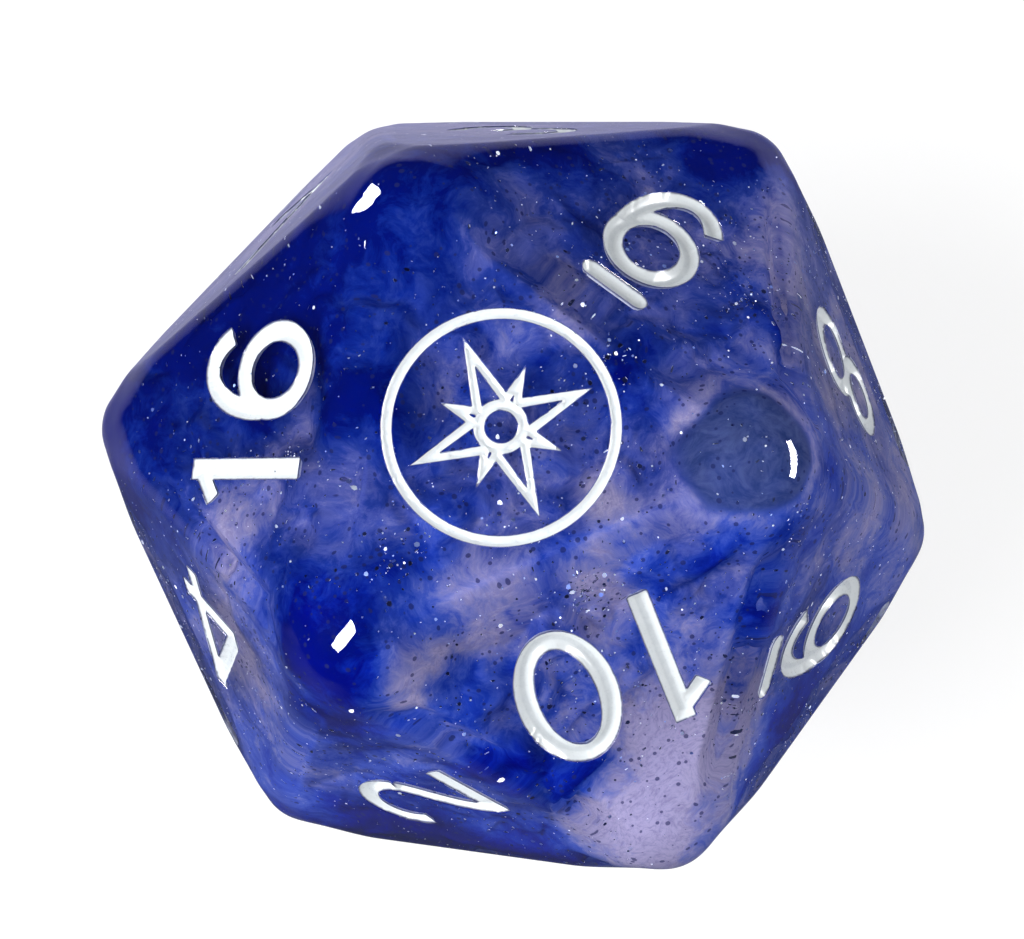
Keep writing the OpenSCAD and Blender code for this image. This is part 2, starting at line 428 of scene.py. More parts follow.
def emblem_field(x, y):
    """How far each point lies inside the lines of the compass star and its ring."""
    radius = np.hypot(x, y)
    ring = FINE_STROKE / 2 - abs(radius - RING_RADIUS)
    full = np.maximum(
        depth_inside(star(SHORT_POINT, 45, 0), x, y), depth_inside(star(LONG_POINT, 0, 0), x, y)
    )
    open_part = np.maximum(
        depth_inside(star(SHORT_POINT, 45, FINE_STROKE), x, y),
        depth_inside(star(LONG_POINT, 0, FINE_STROKE), x, y),
    )
    open_part = np.minimum(open_part, radius - HUB_RADIUS)
    lines = np.minimum(full, -open_part)
    lines = np.minimum(lines, radius - HUB_RADIUS + FINE_STROKE)
    return np.maximum(ring, lines)


def numeral_field(number, x, y):
    """How far each point lies inside what is engraved on a face."""
    if number == 20:
        return emblem_field(x, y)
    return np.max([depth_inside(stroke, x, y) for stroke in numeral_strokes(number)], axis=0)


class Sheet:
    """A square grid. A field on it is read between its points and cut into outlines."""

    def __init__(self):
        self.start = -SHEET_HALF
        self.count = int(2 * SHEET_HALF / PITCH) + 2
        steps = self.start + PITCH * np.arange(self.count)
        self.x, self.y = np.meshgrid(steps, steps, indexing="ij")

    def read(self, field, spots):
        """The field at any spots."""
        g = np.clip((np.asarray(spots) - self.start) / PITCH, 0, self.count - 1.001)
        i, j = g.astype(int).T
        s, t = (g - g.astype(int)).T
        low = field[i, j] * (1 - s) + field[i + 1, j] * s
        high = field[i, j + 1] * (1 - s) + field[i + 1, j + 1] * s
        return low * (1 - t) + high * t

    def crossing(self, field, level, a, b):
        """The point between two grid points at which the field has that level."""
        fa, fb = field[a] - level, field[b] - level
        t = fa / (fa - fb)
        return tuple(self.start + PITCH * (a[k] + t * (b[k] - a[k])) for k in (0, 1))

    def outlines(self, field, level):
        """Closed loops along which the field has that level."""
        above = field > level
        mixed = above[:-1, :-1].astype(int) + above[1:, :-1] + above[:-1, 1:] + above[1:, 1:]
        spots, following = {}, {}
        for i, j in np.argwhere((mixed > 0) & (mixed < 4)):
            ring = [(i, j), (i + 1, j), (i + 1, j + 1), (i, j + 1)]
            sides = [(ring[k], ring[(k + 1) % 4]) for k in range(4)]
            leave = [s for s in sides if above[s[0]] and not above[s[1]]]
            enter = [s for s in sides if not above[s[0]] and above[s[1]]]
            if len(leave) == 2:
                middle = sum(field[p] for p in ring) / 4 > level
                after = sides.index(leave[0]) + (1 if middle else -1)
                if sides[after % 4] != enter[0]:
                    enter.reverse()
            for a, b in zip(leave, enter):
                key_a, key_b = tuple(sorted(a)), tuple(sorted(b))
                spots[key_a] = self.crossing(field, level, *key_a)
                spots[key_b] = self.crossing(field, level, *key_b)
                following[key_a] = key_b
        loops = []
        while following:
            key, after = following.popitem()
            loop = [spots[key]]
            while after in following:
                loop.append(spots[after])
                after = following.pop(after)
            loops.append(thinned(np.array(loop)))
        return [loop for loop in loops if len(loop) > 5]


def thinned(loop, slack=0.0015):
    """The loop without the points that a straight line between others passes through."""
    kept = [0]
    while kept[-1] < len(loop) - 1:
        start = kept[-1]
        step = 1
        while start + step + 1 < len(loop) and step < 12:
            a, b = loop[start], loop[start + step + 1]
            between = loop[start + 1 : start + step + 1] - a
            run = b - a
            off = abs(between[:, 0] * run[1] - between[:, 1] * run[0]) / max(np.hypot(*run), 1e-9)
            if off.max() > slack:
                break
            step += 1
        kept.append(start + step)
    return loop[[k for k in kept if k < len(loop)]]


def triangulate(loops):
    """Closed loops joined into triangles: their spots, the triangles and the loop of each spot."""
    spots, edges, owner = [], [], []
    for number, loop in enumerate(loops):
        first = len(spots)
        spots += [Vector(p) for p in loop]
        edges += [(first + k, first + (k + 1) % len(loop)) for k in range(len(loop))]
        owner += [number] * len(loop)
    found, _, triangles, origin, _, _ = delaunay_2d_cdt(spots, edges, [], 1, 1e-7)
    owners = [owner[o[0]] if o else -1 for o in origin]
    return np.array([tuple(p) for p in found]), np.array(triangles), np.array(owners)


# ---------------------------------------------------------------- making meshes

# points of one mesh nearer than this, in metres, become one
WELD = 4e-7


def mesh_object(name, points, triangles, sharp=None, normals=None):
    """A mesh object from points in millimetres from the middle of the die.

    Normals, if they are given, are kept where they aren't zero, and points that coincide become one.
    """
    mesh = bpy.data.meshes.new(name)
    lifted = (np.asarray(points) + (0, 0, INRADIUS)) * MM
    mesh.from_pydata(lifted.tolist(), [], [tuple(map(int, t)) for t in triangles])
    if normals is not None:
        given = mesh.attributes.new("known", "FLOAT_VECTOR", "POINT")
        given.data.foreach_set("vector", normals.ravel())
        made = bmesh.new()
        made.from_mesh(mesh)
        loose = [v for v in made.verts if not v.link_faces]
        bmesh.ops.delete(made, geom=loose, context="VERTS")
        bmesh.ops.remove_doubles(made, verts=made.verts, dist=WELD)
        made.to_mesh(mesh)
        made.free()
    mesh.shade_smooth()
    if sharp:
        mesh.set_sharp_from_angle(angle=math.radians(sharp))
    if normals is not None:
        known = np.empty(3 * len(mesh.vertices))
        mesh.attributes["known"].data.foreach_get("vector", known)
        mesh.attributes.remove(mesh.attributes["known"])
        own = np.empty(3 * len(mesh.loops))
        mesh.corner_normals.foreach_get("vector", own)
        spot = np.empty(len(mesh.loops), int)
        mesh.loops.foreach_get("vertex_index", spot)
        known = known.reshape(-1, 3)[spot]
        own = own.reshape(-1, 3)
        is_known = abs(known).sum(1)[:, None] > 0.5
        mesh.normals_split_custom_set(np.where(is_known, known, own).tolist())
    body = bpy.data.objects.new(name, mesh)
    bpy.context.scene.collection.objects.link(body)
    return body


def set_values(body, name, values):
    """Gives each point of a mesh a number that its material reads by name."""
    column = body.data.attributes.new(name, "FLOAT", "POINT")
    column.data.foreach_set("value", values.astype(np.float32))


def rim_of(triangles):
    """The one closed loop of point numbers round some triangles."""
    ahead = {(a, b) for t in triangles for a, b in zip(t, np.roll(t, -1))}
    following = {a: b for a, b in ahead if (b, a) not in ahead}
    start = next(iter(following))
    loop = [start]
    while following[loop[-1]] != start:
        loop.append(following[loop[-1]])
    return loop


def engraved_face(face, sheet, field, shares, triangles):
    """One face of the shell, with the groove of its numeral: points, triangles and normals."""
    ways = grid_ways(face, shares, CROWD)
    points = ways * surface_reach(ways)[:, None]
    flat = is_flat(points, ways)[triangles].all(1)
    rim = rim_of(triangles[flat])
    loops = [face.flat(points[rim])]
    deep = [0.0]
    for inside, depth in zip(GROOVE_IN, GROOVE_DEEP):
        for loop in sheet.outlines(field, inside):
            loops.append(loop)
            deep.append(depth)
    spots, patch, owners = triangulate(loops)
    floor = face.place(spots, np.array(deep)[owners])
    every = np.concatenate([triangles[~flat], patch + len(points)])
    # exact on the rounding and where the flat begins, and left to the mesh in the groove
    normals = np.concatenate([surface_normals(ways), np.outer(owners == 0, face.z)])
    return np.concatenate([points, floor]), every, normals


def paint_mesh(name, face, sheet, field):
    """The paint in one groove, a closed film that is hollow along the strokes."""
    drawn_back = np.zeros(field.shape)
    for i, j in np.argwhere((field > RAGGED_FROM) & (field < RAGGED_TO)):
        spot = Vector((sheet.x[i, j], sheet.y[i, j], RAGGED_APART * face.number))
        rough = noise.noise(spot * 4.5) + 0.6 * noise.noise(spot * 11)
        drawn_back[i, j] = RAGGED * max(0, rough - 0.1)
    painted = field - drawn_back
    rims = sheet.outlines(painted, PAINT_IN[0])
    loops = list(rims)
    top = [PAINT_DEEP[0]] * len(rims)
    for inside, depth in zip(PAINT_IN[1:], PAINT_DEEP[1:]):
        for loop in sheet.outlines(painted, inside):
            loops.append(loop)
            top.append(depth)
    spots, triangles, owners = triangulate(loops)
    triangles = triangles[depth_inside(rims, *spots[triangles].mean(1).T) > 0]
    top = np.array(top)[owners]
    groove = np.interp(sheet.read(field, spots), GROOVE_IN, GROOVE_DEEP)
    upper = face.place(spots, top)
    lower = face.place(spots, np.maximum(groove, top) + PAINT_UNDER)
    ahead = {(a, b) for t in triangles for a, b in zip(t, np.roll(t, -1))}
    count = len(spots)
    wall = []
    for a, b in ahead:
        if (b, a) not in ahead:
            wall += [(a, a + count, b), (b, a + count, b + count)]
    under = triangles[:, ::-1] + count
    every = np.concatenate([triangles, under, np.array(wall)])
    paint = mesh_object(name, np.concatenate([upper, lower]), every, sharp=50)
    half = (FINE_STROKE if face.number == 20 else STROKE) / 2
    set_values(paint, "across", np.tile(sheet.read(field, spots) / half, 2))
    return paint


def build_shell_and_paint():
    """The clear outside of the die in one piece, and the paint of each face."""
    shares, triangles = face_grid(ROWS)
    sheet = Sheet()
    points, faces, normals, count = [], [], [], 0
    paints = []
    for face in FACES:
        field = numeral_field(face.number, sheet.x, sheet.y)
        some, joined, known = engraved_face(face, sheet, field, shares, triangles)
        points.append(some)
        normals.append(known)
        faces.append(outward(some, joined) + count)
        count += len(some)
        has_emblem = face.number == 20
        name = "emblem_paint" if has_emblem else f"numeral_paint_{face.number:02d}"
        node = "emblem_20" if has_emblem else f"numeral_{face.number:02d}"
        paint = paint_mesh(name, face, sheet, field)
        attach(paint, "root")
        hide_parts(node)
        paints.append(paint)
    shell = mesh_object(
        "resin_shell",
        np.concatenate(points),
        np.concatenate(faces),
        sharp=32,
        normals=np.concatenate(normals),
    )
    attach(shell, "root")
    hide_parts("resin_body")
    return shell, paints


# ---------------------------------------------------------------- the blue pour

# where the pour is dense, or clear if the strength is below zero: x, y, z, radius, strength
POOLS = (
    (-8.9, 4.9, 1.9, 2.2, 0.6),
    (-5.0, 6.2, 4.8, 2.5, 0.7),
    (-1.0, 7.0, 7.2, 2.5, 0.7),
    (-2.4, 3.6, 7.8, 1.2, 0.35),
    (-2.9, 1.7, 8.4, 1.0, 0.55),
    (-4.6, 3.2, 6.2, 1.0, 0.5),
    (3.4, 7.2, 5.4, 1.9, 0.85),
    (8.0, 5.4, 2.6, 1.7, 0.75),
    (-5.4, -2.7, 8.0, 1.3, 0.7),
    (-6.0, -4.0, 6.0, 0.9, 0.4),
    (-6.2, -7.0, -1.6, 2.4, 1.0),
    (-2.8, -8.8, 0.0, 1.3, 0.7),
    (6.7, 0.1, 5.8, 0.7, 0.6),
    (3.5, 0.3, 8.0, 0.9, 0.45),
    (3.4, -4.2, 7.4, 0.5, 0.4),
    (4.0, -6.1, 5.5, 0.7, 0.45),
    (-2.8, -6.8, 5.0, 0.9, 0.5),
    (-1.8, -7.8, 3.9, 0.8, 0.55),
    (3.6, -8.6, 0.5, 1.4, 0.4),
    (1.5, -2.6, 8.2, 0.7, -0.65),
    (0.8, -3.9, 7.5, 0.9, -0.55),
    (0.4, -5.2, 6.5, 0.8, -0.35),
    (1.1, -8.1, 4.0, 2.1, -0.65),
    (-0.6, -10.2, 1.8, 1.6, -0.4),
    (2.2, -8.4, 3.4, 1.0, -0.35),
    (-1.6, -9.3, 2.6, 0.9, -0.35),
    (-4.3, -4.2, 7.4, 1.1, -0.5),
    (-2.2, -3.6, 7.9, 1.3, -0.35),
    (-6.7, 0.8, 5.4, 1.3, -0.35),
    (-7.6, -1.6, 2.6, 2.0, -0.3),
    (8.2, 2.2, 3.7, 1.0, -0.3),
    (9.3, -1.3, 3.3, 2.0, -0.3),
    (9.0, -2.2, -1.0, 3.0, -0.35),
    (7.0, -3.6, 3.2, 1.4, -0.3),
    (-3.0, 9.0, 0.0, 2.8, -0.5),
    (2.5, 9.0, 0.5, 2.8, -0.5),
)
# a round grey-blue cloud close under the surface, with a clear halo
CLOUD = (4.85, -2.65, 8.2)
CLOUD_RADIUS = 1.5
CLOUD_BLUE = 0.58
# how blue the pour is away from any pool
PLAIN_BLUE = 0.46
POUR_ROWS = 96
# seed of the noise that bends the clouds, chosen for where it puts the wisps
POUR_SEED = 1794918481
# how far under the surface the pour's kind is read, and where it lies: at a corner, over solid blue,
# how much deeper over clear resin, at least, and at most along an edge
POUR_READ = 1.5
POUR_AT_CORNER = 0.42
POUR_SOLID = 0.95
POUR_CLEAR = 2.0
POUR_LEAST = 0.62
POUR_AT_EDGE = 1.35
# degrees from a corner between which the depth there gives way to the others
POUR_CORNER_SPAN = (5, 15)


def pour_at(point):
    """The pour at a point in the resin.

    It is how blue, from 0, clear, to 1, solid; how deep in a crease; how grey; and how puffed out.
    """
    spot = Vector(point)
    drawn = spot + 0.55 * noise.noise_vector(spot * 0.7)
    blue = PLAIN_BLUE
    for x, y, z, radius, strength in POOLS:
        blue += strength * math.exp(-((drawn - Vector((x, y, z))).length_squared) / radius**2)
    blue += 0.15 * noise.noise(drawn * 0.3) + 0.22 * noise.noise(drawn * 0.8)
    curled = spot + 0.7 * noise.noise_vector(spot * 0.9 + Vector((5, 0, 0)))
    puff = abs(noise.noise(curled * 0.42)) + 0.4 * abs(noise.noise(curled * 1.1))
    crease = max(0, 1 - puff / 0.16)
    away = (spot + 0.15 * noise.noise_vector(spot * 1.2) - Vector(CLOUD)).length / CLOUD_RADIUS
    grey = 1 - smooth(0.8, 1.0, away)
    halo = smooth(0.82, 0.95, away) * (1 - smooth(1.0, 1.3, away))
    blue = blue * (1 - grey) + CLOUD_BLUE * grey - 0.2 * halo
    return min(1, max(0, blue)), crease, float(grey), puff


def pour_depth(ways, reach):
    """How far under the surface the pour lies in each direction, and what it is like there."""
    found = np.array([pour_at(p) for p in ways * (reach - POUR_READ)[:, None]])
    blue, _, grey, puff = found.T
    billow = 0.9 * (np.minimum(puff, 0.5) - 0.2)
    sunk = POUR_SOLID + POUR_CLEAR * (1 - blue) ** 1.3 - billow - 0.5 * grey
    sunk = np.maximum(sunk, POUR_LEAST)
    # never so deep near an edge that the resin there looks empty
    along = np.sort(ways @ NORMALS.T, axis=1)
    off_edge = along[:, -1] - along[:, -2]
    sunk = np.minimum(sunk, POUR_AT_EDGE + 8 * off_edge)
    open_part = smooth(*POUR_CORNER_SPAN, degrees_off_corner(ways))
    return POUR_AT_CORNER * (1 - open_part) + sunk * open_part, found


def build_pour():
    """The cloudy core: close under the surface where the blue is dense, deeper where it is clear."""
    noise.seed_set(POUR_SEED)
    shares, triangles = face_grid(POUR_ROWS)
    points, faces, found, count = [], [], [], 0
    for face in FACES:
        ways = grid_ways(face, shares, 1.0)
        reach = surface_reach(ways)
        sunk, some_found = pour_depth(ways, reach)
        points.append(ways * (reach - sunk)[:, None])
        faces.append(outward(points[-1], triangles) + count)
        found.append(some_found)
        count += len(ways)
    points = np.concatenate(points)
    found = np.concatenate(found)
    # the grids of neighbouring faces share their edge points, so only one of each is kept
    _, first, place = np.unique(np.round(points, 4), axis=0, return_index=True, return_inverse=True)
    pour = mesh_object("blue_pour", points[first], place.ravel()[np.concatenate(faces)])
    for column, name in enumerate(("pigment", "crease", "greyness")):
        set_values(pour, name, found[first, column])
    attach(pour, "root")
    return pour


# ---------------------------------------------------------------- glitter

FLAKES = 5000
DUST = 6000
# half the thickness of a flake
FLAKE_HALF = 0.006
# directions in which the first few flakes of each kind lie close together
CLUSTERED = 360
CLUSTERS = (
    (4.6, -4.0, 8.3),
    (-3.8, -2.0, 9.0),
    (6.6, 0.9, 6.4),
    (3.0, 0.6, 9.0),
    (0.3, -4.3, 8.6),
    (-5.2, 1.6, 8.0),
    (5.0, -2.4, 8.2),
    (5.3, -4.1, 7.4),
)


def build_flakes(name, count, seed, small, large, shallow, deep):
    """Thin ragged hexagons at random places and tilts near the surface.

    They measure from small to large across and lie from shallow to deep under the surface.
    """
    chance = random.Random(seed)
    points, faces = [], []
    for number in range(count):
        way = Vector([chance.gauss(0, 1) for _ in range(3)]).normalized()
        if number < CLUSTERED:
            way = (Vector(CLUSTERS[number % len(CLUSTERS)]) + way * chance.random()).normalized()
        reach = surface_reach(np.array([way]))[0]
        spot = way * (reach - chance.uniform(shallow, deep))
        turn = Matrix.Rotation(chance.uniform(0, math.tau), 3, [chance.gauss(0, 1) for _ in range(3)])
        radius = (small + (large - small) * chance.random() ** 2.5) / 2
        first = len(points)
        ragged = [radius * chance.uniform(0.6, 1) for _ in range(6)]
        for side in (-FLAKE_HALF, FLAKE_HALF):
            for k, far in enumerate(ragged):
                angle = math.radians(60 * k)
                tip = Vector((far * math.cos(angle), far * math.sin(angle), side))
                points.append(spot + turn @ tip)
        lower = list(range(first + 5, first - 1, -1))
        upper = list(range(first + 6, first + 12))
        for rim in (lower, upper):
            faces += [(rim[0], rim[k], rim[k + 1]) for k in range(1, 5)]
        for k in range(6):
            a, b = first + k, first + (k + 1) % 6
            faces += [(a, b, b + 6), (a, b + 6, a + 6)]
    flakes = mesh_object(name, [tuple(p) for p in points], faces, sharp=20)
    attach(flakes, "root")
    return flakes


# ---------------------------------------------------------------- materials


class Nodes:
    """Builds a material's nodes; each call adds one node and returns its output."""

    def __init__(self, name):
        self.material = bpy.data.materials.new(name)
        self.material.use_nodes = True
        self.tree = self.material.node_tree
        self.tree.nodes.clear()

    def add(self, kind, inputs=(), output=0, **settings):
        node = self.tree.nodes.new(kind)
        for key, value in settings.items():
            setattr(node, key, value)
        for key, value in dict(inputs).items():
            if isinstance(value, bpy.types.NodeSocket):
                self.tree.links.new(value, node.inputs[key])
            else:
                node.inputs[key].default_value = value
        return node.outputs[output]

    def math(self, operation, a, b):
        return self.add("ShaderNodeMath", {0: a, 1: b}, operation=operation)

    def sway(self, value, width):
        """A noise value about zero instead of about a half, and that many times as wide."""
        return self.math("MULTIPLY", self.math("SUBTRACT", value, 0.5), width)

    def millimetres(self):
        """Places on the object in millimetres."""
        where = self.add("ShaderNodeTexCoord", output="Object")
        return self.add("ShaderNodeVectorMath", {0: where, "Scale": 1 / MM}, operation="SCALE")

    def noise(self, where, scale, detail, roughness, curl=0.0, output=0):
        inputs = {
            "Vector": where,
            "Scale": scale,
            "Detail": detail,
            "Roughness": roughness,
            "Distortion": curl,
        }
        return self.add("ShaderNodeTexNoise", inputs, output=output)

    def spread(self, value, low, high, to_low=0.0, to_high=1.0, kind="SMOOTHSTEP"):
        """The value moved from one range to another, and held inside it."""
        inputs = {
            "Value": value,
            "From Min": low,
            "From Max": high,
            "To Min": to_low,
            "To Max": to_high,
        }
        return self.add("ShaderNodeMapRange", inputs, interpolation_type=kind)

    def mix(self, share, a, b):
        """Colour a, or b where the share is 1. The node's colours are its inputs 6 and 7."""
        return self.add("ShaderNodeMix", {0: share, 6: a, 7: b}, output=2, data_type="RGBA")

    def ramp(self, value, stops):
        """Colours at places from 0 to 1, and blends of them in between."""
        node = self.tree.nodes.new("ShaderNodeValToRGB")
        band = node.color_ramp
        while len(band.elements) < len(stops):
            band.elements.new(0.5)
        for element, (place, colour) in zip(band.elements, stops):
            element.position = place
            element.color = (*colour, 1)
        self.tree.links.new(value, node.inputs[0])
        return node.outputs[0]

    def bump(self, height, strength, distance):
        inputs = {"Height": height, "Strength": strength, "Distance": distance}
        return self.add("ShaderNodeBump", inputs)

    def finish(self, surface):
        out = self.tree.nodes.new("ShaderNodeOutputMaterial")
        self.tree.links.new(surface, out.inputs["Surface"])
        return self.material


def resin_material():
    """Clear cast resin with a faint violet tint. Lamps reach through it as if it weren't there."""
    n = Nodes("clear_resin")
    where = n.millimetres()
    scuffs = n.noise(where, 3.0, 6.0, 0.7)
    waves = n.noise(where, 1.1, 1.0, 0.5)
    inputs = {
        "Base Color": (0.93, 0.94, 0.985, 1),
        "Roughness": n.spread(scuffs, 0.4, 0.8, 0.015, 0.06),
        "Normal": n.bump(waves, 0.3, 0.00006),
        "IOR": 1.5,
        "Transmission Weight": 1.0,
    }
    glass = n.add("ShaderNodeBsdfPrincipled", inputs)
    open_way = n.add("ShaderNodeBsdfTransparent", {"Color": (0.93, 0.93, 0.98, 1)})
    shadow = n.add("ShaderNodeLightPath", output="Is Shadow Ray")
    return n.finish(n.add("ShaderNodeMixShader", {0: shadow, 1: glass, 2: open_way}))


def pour_material():
    """Ultramarine pigment in lilac resin, in clouds and drawn-out wisps."""
    n = Nodes("blue_pour")
    where = n.millimetres()
    pigment = n.add("ShaderNodeAttribute", output="Fac", attribute_name="pigment")
    crease = n.add("ShaderNodeAttribute", output="Fac", attribute_name="crease")
    greyness = n.add("ShaderNodeAttribute", output="Fac", attribute_name="greyness")
    bent = n.noise(where, 0.5, 2.0, 0.5, output=1)
    bent = n.add("ShaderNodeVectorMath", {0: bent, "Scale": 2.4}, operation="SCALE")
    drawn = n.add("ShaderNodeVectorMath", {0: where, 1: bent}, operation="ADD")
    clouds = n.noise(drawn, 0.7, 8.0, 0.66)
    wisps = n.noise(drawn, 2.6, 6.0, 0.72, curl=0.3)
    value = n.math("ADD", pigment, n.sway(clouds, 0.75))
    value = n.math("ADD", value, n.sway(wisps, 0.6))
    value = n.math("ADD", value, n.math("MULTIPLY", crease, 0.12))
    value = n.spread(value, 0.07, 0.9, kind="LINEAR")
    dull = n.ramp(
        value,
        (
            (0.0, (0.38, 0.345, 0.51)),
            (0.22, (0.20, 0.20, 0.42)),
            (0.42, (0.072, 0.092, 0.32)),
            (0.62, (0.018, 0.04, 0.25)),
            (0.82, (0.003, 0.017, 0.2)),
            (1.0, (0.0, 0.004, 0.13)),
        ),
    )
    vivid = n.ramp(
        value,
        (
            (0.0, (0.38, 0.345, 0.53)),
            (0.22, (0.19, 0.21, 0.5)),
            (0.42, (0.05, 0.095, 0.45)),
            (0.62, (0.01, 0.04, 0.36)),
            (0.82, (0.001, 0.012, 0.27)),
            (1.0, (0.0, 0.002, 0.17)),
        ),
    )
    # livelier towards -y, as the photo is
    far = n.add("ShaderNodeSeparateXYZ", {0: where}, output=1)
    lively = n.math("SUBTRACT", n.noise(drawn, 0.4, 3.0, 0.5), n.math("MULTIPLY", far, 0.03))
    colour = n.mix(n.spread(lively, 0.42, 0.72), dull, vivid)
    # fine fibres, which show most in the clear parts
    fibres = n.spread(n.noise(drawn, 6.0, 6.0, 0.75, curl=0.5), 0.42, 0.66, 0.0, 0.55)
    fibres = n.math("MULTIPLY", fibres, n.spread(value, 0.0, 0.4, 1.0, 0.0))
    colour = n.mix(fibres, colour, (0.15, 0.14, 0.3, 1))
    murk = n.ramp(wisps, ((0.35, (0.016, 0.03, 0.1)), (0.65, (0.07, 0.095, 0.21))))
    colour = n.mix(n.math("MULTIPLY", greyness, 0.8), colour, murk)
    # dark specks of many sizes
    cells = {"Vector": where, "Scale": 4.5, "Randomness": 1.0}
    kind = n.add("ShaderNodeSeparateColor", {0: n.add("ShaderNodeTexVoronoi", cells, output="Color")})
    near = n.add("ShaderNodeTexVoronoi", cells, output="Distance")
    size = n.spread(kind, 0.25, 1.0, -0.1, 0.3, kind="LINEAR")
    speck = n.spread(n.math("SUBTRACT", near, size), 0.0, 0.07, 0.75, 0.0)
    colour = n.mix(speck, colour, (0.015, 0.02, 0.1, 1))
    inputs = {"Base Color": colour, "Roughness": 0.7, "Specular IOR Level": 0.0}
    return n.finish(n.add("ShaderNodeBsdfPrincipled", inputs))


def paint_material():
    """White paint, with a painted dark blue shade line at its rim and painted shade, greyer, along the
    hollow middle of a stroke.
    """
    n = Nodes("white_paint")
    where = n.millimetres()
    across = n.add("ShaderNodeAttribute", output="Fac", attribute_name="across")
    streaks = n.noise(where, 5.0, 4.0, 0.6)
    grain = n.noise(where, 16.0, 4.0, 0.6)
    # painted shade: the paint is greyer along the hollow middle of a stroke, where the groove is
    # deepest
    shade_across = n.math("ADD", across, n.sway(streaks, 0.3))
    painted_middle_shade = n.math("MULTIPLY", n.spread(shade_across, 0.6, 1.0), 0.45)
    colour = n.mix(painted_middle_shade, (0.8, 0.845, 0.875, 1), (0.36, 0.42, 0.49, 1))
    # painted shade: a dark blue line just inside the paint's rim, as shade at the edge of the groove
    ragged = n.math("ADD", across, n.sway(streaks, 0.12))
    colour = n.mix(n.spread(ragged, 0.06, 0.22), (0.05, 0.06, 0.16, 1), colour)
    inputs = {
        "Base Color": colour,
        "Roughness": n.spread(grain, 0.3, 0.7, 0.25, 0.45),
        "Normal": n.bump(grain, 0.25, 0.00002),
        "Coat Weight": 0.35,
        "Coat Roughness": 0.12,
    }
    return n.finish(n.add("ShaderNodeBsdfPrincipled", inputs))


def glitter_material():
    """Metallised flakes: most painted dark as shaded flakes, some blue, and a fifth silver with a faint
    glow painted on as glints.
    """
    n = Nodes("silver_glitter")
    one = n.add("ShaderNodeNewGeometry", output="Random Per Island")
    # painted shade: most flakes are coloured dark, as flakes in shade; the rest are blue or silver
    colour = n.ramp(
        one,
        (
            (0.0, (0.015, 0.02, 0.06)),
            (0.6, (0.03, 0.04, 0.12)),
            (0.64, (0.12, 0.18, 0.5)),
            (0.76, (0.4, 0.55, 0.95)),
            (0.8, (0.9, 0.95, 1.0)),
            (1.0, (1.0, 0.95, 0.92)),
        ),
    )
    # painted glints: the silver flakes glow a little, as if they caught a lamp
    glint = n.ramp(one, ((0.8, (0.0, 0.0, 0.0)), (0.88, (0.75, 0.85, 1.0))))
    inputs = {
        "Base Color": colour,
        "Metallic": 1.0,
        "Roughness": 0.3,
        "Emission Color": glint,
        "Emission Strength": 0.7,
    }
    return n.finish(n.add("ShaderNodeBsdfPrincipled", inputs))


def floor_material():
    """A plain pale table, lit evenly. Polished surfaces see it dimly, and brighter behind the die."""
    n = Nodes("pale_table")
    where = n.millimetres()
    patches = n.noise(where, 0.02, 3.0, 0.5)
    colour = n.mix(patches, (0.28, 0.28, 0.28, 1), (0.3, 0.3, 0.3, 1))
    inputs = {"Base Color": colour, "Roughness": 1.0, "Specular IOR Level": 0.0}
    table = n.add("ShaderNodeBsdfPrincipled", inputs)
    glow = n.add("ShaderNodeEmission", {"Color": (1, 1, 1, 1), "Strength": 0.76})
    table = n.add("ShaderNodeAddShader", {0: table, 1: glow})
    behind = n.add("ShaderNodeSeparateXYZ", {0: where}, output=1)
    shade = n.mix(n.spread(behind, 5.0, 12.0), (0.12, 0.13, 0.2, 1), (0.36, 0.36, 0.56, 1))
    away = n.add("ShaderNodeVectorMath", {0: where}, output="Value", operation="LENGTH")
    shade = n.mix(n.spread(away, 35.0, 90.0), shade, (0.03, 0.03, 0.035, 1))
    reflected = n.add("ShaderNodeEmission", {"Color": shade, "Strength": 1.0})
    mirror = n.add("ShaderNodeLightPath", output="Is Glossy Ray")
    return n.finish(n.add("ShaderNodeMixShader", {0: mirror, 1: table, 2: reflected}))


def wear(objects, material):
    for body in objects:
        body.data.materials.clear()
        body.data.materials.append(material)


shell, paints = build_shell_and_paint()
pour = build_pour()
flakes = build_flakes("glitter", FLAKES, seed=7, small=0.06, large=0.19, shallow=0.2, deep=2.4)
dust = build_flakes("glitter_dust", DUST, seed=11, small=0.04, large=0.08, shallow=0.15, deep=1.6)
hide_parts("glitter_flakes")
wear([shell], resin_material())
wear([pour], pour_material())
wear(paints, paint_material())
wear([flakes, dust], glitter_material())

# ---------------------------------------------------------------- camera

EYE = (-0.56, -9.87, 69.35)
FORWARD = (0.0066, 0.1463, -0.9892)
# the azimuth that points up in the picture, in degrees
IMAGE_UP = 67.1
FOCAL_LENGTH = 85.66
SENSOR = 36


def add_camera():
    forward = Vector(FORWARD).normalized()
    hint = Vector((math.cos(math.radians(IMAGE_UP)), math.sin(math.radians(IMAGE_UP)), 0))
    right = forward.cross(hint).normalized()
    up = right.cross(forward)
    data = bpy.data.cameras.new("camera")
    data.lens = FOCAL_LENGTH
    data.sensor_width = SENSOR
    data.clip_start = 0.001
    data.clip_end = 10
    camera = bpy.data.objects.new("camera", data)
    bpy.context.scene.collection.objects.link(camera)
    turn = Matrix((right, up, -forward)).transposed().to_4x4()
    eye = (Vector(EYE) + Vector((0, 0, INRADIUS))) * MM
    camera.matrix_world = Matrix.Translation(eye) @ turn
    bpy.context.scene.camera = camera


add_camera()

# ---------------------------------------------------------------- table and light

TABLE_RADIUS = 0.7
# the table lies this far under the die, so that their faces don't coincide
TABLE_GAP = 0.00002
PANEL_AWAY = 0.5
# the two lamps' sides; the windows have their own
LAMP_SIDE = 0.35


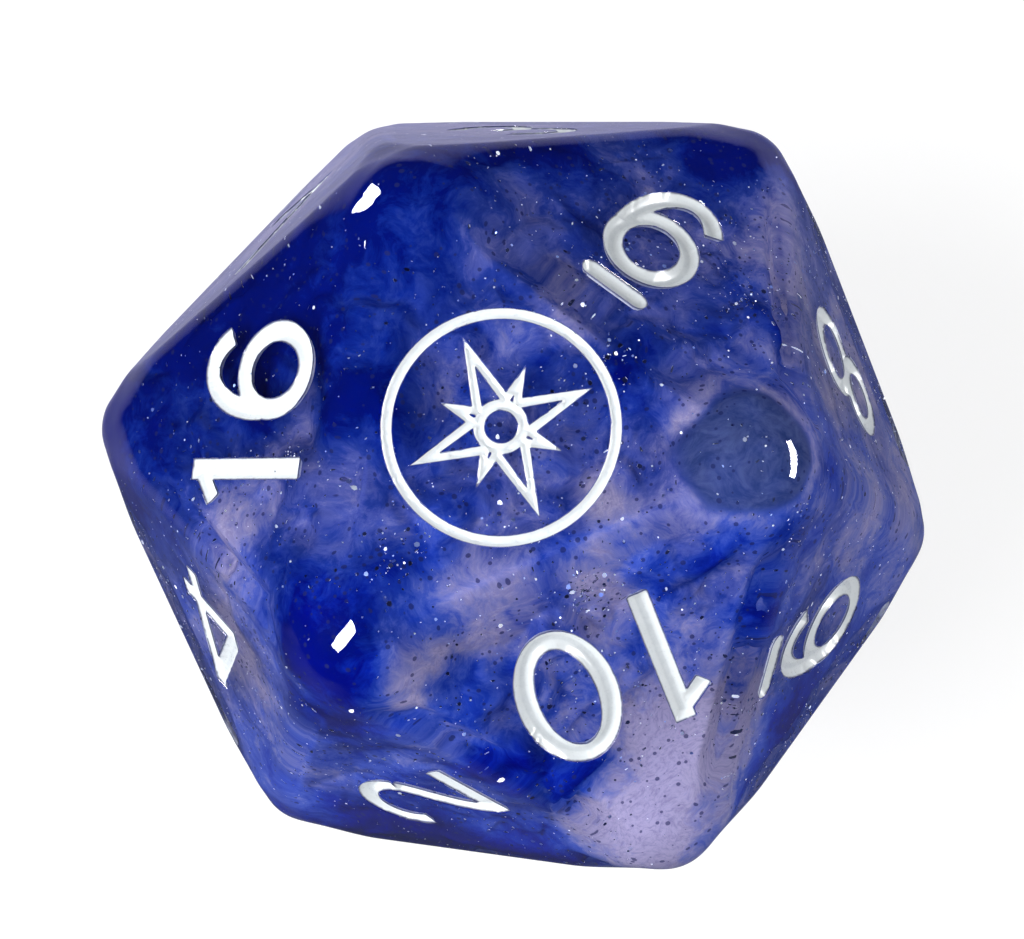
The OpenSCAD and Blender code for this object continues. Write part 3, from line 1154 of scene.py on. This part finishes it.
def add_floor():
    made = bmesh.new()
    bmesh.ops.create_circle(made, cap_ends=True, segments=96, radius=TABLE_RADIUS)
    mesh = bpy.data.meshes.new("table")
    made.to_mesh(mesh)
    made.free()
    table = bpy.data.objects.new("table", mesh)
    table.location.z = -TABLE_GAP
    bpy.context.scene.collection.objects.link(table)
    wear([table], floor_material())


def add_panel(name, azimuth, elevation, wide, high, power):
    """A soft rectangular light that points at the middle of the die."""
    data = bpy.data.lights.new(name, "AREA")
    data.shape = "RECTANGLE"
    data.size = wide
    data.size_y = high
    data.energy = power
    lamp = bpy.data.objects.new(name, data)
    bpy.context.scene.collection.objects.link(lamp)
    a, e = math.radians(azimuth), math.radians(elevation)
    way = Vector((math.cos(a) * math.cos(e), math.sin(a) * math.cos(e), math.sin(e)))
    lamp.location = way * PANEL_AWAY + Vector((0, 0, INRADIUS * MM))
    lamp.rotation_euler = way.to_track_quat("Z", "Y").to_euler()
    return lamp


def add_world():
    """A pale room: its light, what polished surfaces see of it, and the pale backdrop itself."""
    world = bpy.data.worlds.new("room")
    world.use_nodes = True
    bpy.context.scene.world = world
    tree = world.node_tree
    tree.nodes.clear()
    path = tree.nodes.new("ShaderNodeLightPath")
    surface = None
    for ray, colour, strength in (
        (None, (1.0, 1.0, 1.0, 1), 0.35),
        ("Is Glossy Ray", (0.8, 0.85, 1.0, 1), 0.04),
        ("Is Camera Ray", (1.0, 1.0, 1.0, 1), 0.8),
    ):
        shade = tree.nodes.new("ShaderNodeBackground")
        shade.inputs["Color"].default_value = colour
        shade.inputs["Strength"].default_value = strength
        if ray is None:
            surface = shade.outputs[0]
            continue
        mix = tree.nodes.new("ShaderNodeMixShader")
        tree.links.new(path.outputs[ray], mix.inputs[0])
        tree.links.new(surface, mix.inputs[1])
        tree.links.new(shade.outputs[0], mix.inputs[2])
        surface = mix.outputs[0]
    out = tree.nodes.new("ShaderNodeOutputWorld")
    tree.links.new(surface, out.inputs["Surface"])


add_floor()
add_world()
# lamps that light the die and don't show in it
for name, azimuth, elevation, power in (("key", 172, 42, 2.9), ("fill", -50, 60, 0.7)):
    softbox = add_panel(name, azimuth, elevation, LAMP_SIDE, LAMP_SIDE, power)
    softbox.visible_glossy = False
# windows that only show in it, as its highlights
for name, azimuth, elevation, wide, high, power in (
    ("window_left", 122, 12, 0.05, 0.26, 1.3),
    ("window_front", -160, 58, 0.16, 0.12, 1.9),
    ("window_right", -14, 12, 0.5, 0.12, 5.5),
):
    window = add_panel(name, azimuth, elevation, wide, high, power)
    window.visible_diffuse = False
    window.visible_transmission = False
    window.visible_camera = False
bpy.context.scene.view_settings.view_transform = "Standard"
